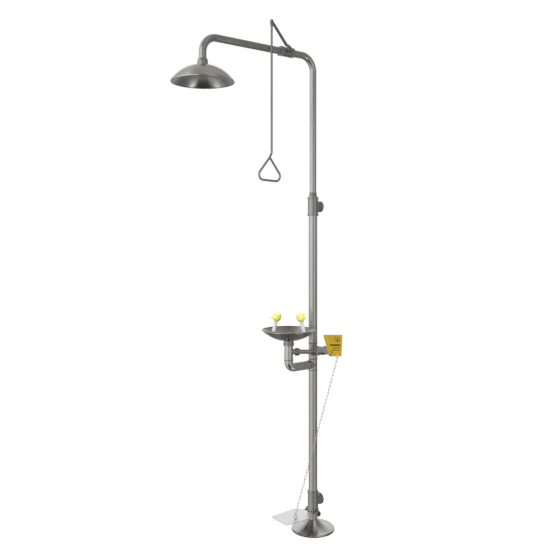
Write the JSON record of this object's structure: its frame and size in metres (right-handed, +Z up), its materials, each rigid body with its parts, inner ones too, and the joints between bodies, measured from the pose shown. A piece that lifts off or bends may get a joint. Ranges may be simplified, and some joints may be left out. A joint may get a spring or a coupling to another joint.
{
  "type": "eyewash station",
  "caption": "Floor-standing emergency shower and eyewash: steel column, overhead shower with pull rod, eyewash bowl with capped nozzles, push plate and foot pedal.",
  "frame": {"origin": "centre of the column on the floor, under the floor flange", "axes": "+Z up, -Y forwards under the shower arm to where the user stands, +X to the side of the valve levers"},
  "size_m": [0.3291, 0.875, 2.4495],
  "materials": {
    "brushed": "satin-ground stainless steel",
    "polished": "polished stainless steel",
    "fitting": "tumbled stainless steel castings and turned parts",
    "pedal_steel": "fine satin stainless sheet",
    "chain_steel": "bright stainless wire",
    "yellow_plate": "semi-gloss golden yellow",
    "yellow_plastic": "fluorescent yellow-green moulded plastic",
    "nozzle_plastic": "light grey moulded plastic",
    "seat": "white PTFE"
  },
  "bodies": {
    "station": {"floor_flange": "brushed", "base_cover": "polished", "base_nipple": "brushed", "drain_tee": "fitting", "lower_column": "brushed", "waste_tee": "brushed", "column_plug": "brushed", "supply_tee": "brushed", "middle_column": "brushed", "inlet_tee": "fitting", "reducer": "fitting", "riser_pipe": "brushed", "arm_pipe": "brushed", "shower_valve_body": "fitting", "shower_valve_end": "fitting", "valve_seats": "seat", "gland_nuts": "fitting", "head_socket": "fitting", "head_locknut": "fitting", "head_shell": "polished", "spray_deflector": "polished", "drain_arm": "brushed", "drain_pipe": "brushed", "drain_nut": "fitting", "bowl_outlet": "fitting", "bowl_strainer": "polished", "eyewash_bowl": "polished", "supply_elbows": "fitting", "supply_nipples": "fitting", "supply_pipe": "brushed", "union_nut": "fitting", "supply_riser": "brushed", "eyewash_valve_body": "fitting", "eyewash_valve_end": "fitting", "nozzle_manifold": "fitting", "nozzle_stems": "nozzle_plastic", "cap_collars": "yellow_plastic", "spray_inserts": "nozzle_plastic", "cap_pins": "fitting", "pedal_collar": "fitting", "pivot_bolts": "fitting"},
    "shower_lever": {"shower_lever": "brushed", "shower_valve_ball": "polished", "shower_valve_stem": "fitting", "shower_lever_nut": "fitting"},
    "pull_rod": {"pull_rod": "brushed", "rod_clevis": "fitting", "pull_handle": "brushed"},
    "eyewash_lever": {"eyewash_valve_ball": "polished", "eyewash_valve_stem": "fitting", "eyewash_lever_nut": "fitting", "lever_bracket": "brushed", "push_plate": "yellow_plate", "plate_rivets": "fitting"},
    "chain": {"pedal_chain": "chain_steel", "chain_rings": "chain_steel"},
    "pedal": {"foot_pedal": "pedal_steel", "pedal_eye": "fitting"},
    "cap_left": {"dust_cap_left": "yellow_plastic"},
    "cap_right": {"dust_cap_right": "yellow_plastic"}
  },
  "joints": [
    {"name": "shower_lever_turn", "type": "hinge", "parent": "station", "child": "shower_lever", "pos_m": [0, -0.1675, 2.32], "axis": [1, 0, 0], "range_deg": [0, 90]},
    {"name": "pull_rod_hang", "type": "hinge", "parent": "shower_lever", "child": "pull_rod", "pos_m": [0.029, -0.27554, 2.44298], "axis": [1, 0, 0], "range_deg": [-90, 0]},
    {"name": "eyewash_lever_turn", "type": "hinge", "parent": "station", "child": "eyewash_lever", "pos_m": [0.08389, -0.04068, 0.887], "axis": [-0.7986, 0.6018, 0], "range_deg": [0, 34.5]},
    {"name": "chain_hang", "type": "hinge", "parent": "eyewash_lever", "child": "chain", "pos_m": [0.17399, 0.00412, 0.8785], "axis": [-0.7986, 0.6018, 0], "range_deg": [-36, 0]},
    {"name": "pedal_tilt", "type": "hinge", "parent": "station", "child": "pedal", "pos_m": [0, 0, 0.086], "axis": [1, 0, 0], "range_deg": [0, 23]},
    {"name": "cap_left_flip", "type": "hinge", "parent": "station", "child": "cap_left", "pos_m": [-0.05843, -0.21043, 1.05038], "axis": [0.7071, -0.7071, 0], "range_deg": [0, 110]},
    {"name": "cap_right_flip", "type": "hinge", "parent": "station", "child": "cap_right", "pos_m": [0.05843, -0.09357, 1.05038], "axis": [-0.7071, 0.7071, 0], "range_deg": [0, 110]}
  ],
  "couplings": [
    {"joint": "pull_rod_hang", "follows": "shower_lever_turn", "ratio": -1},
    {"joint": "chain_hang", "follows": "eyewash_lever_turn", "ratio": -1.04},
    {"joint": "pedal_tilt", "follows": "eyewash_lever_turn", "ratio": 0.66}
  ]
}
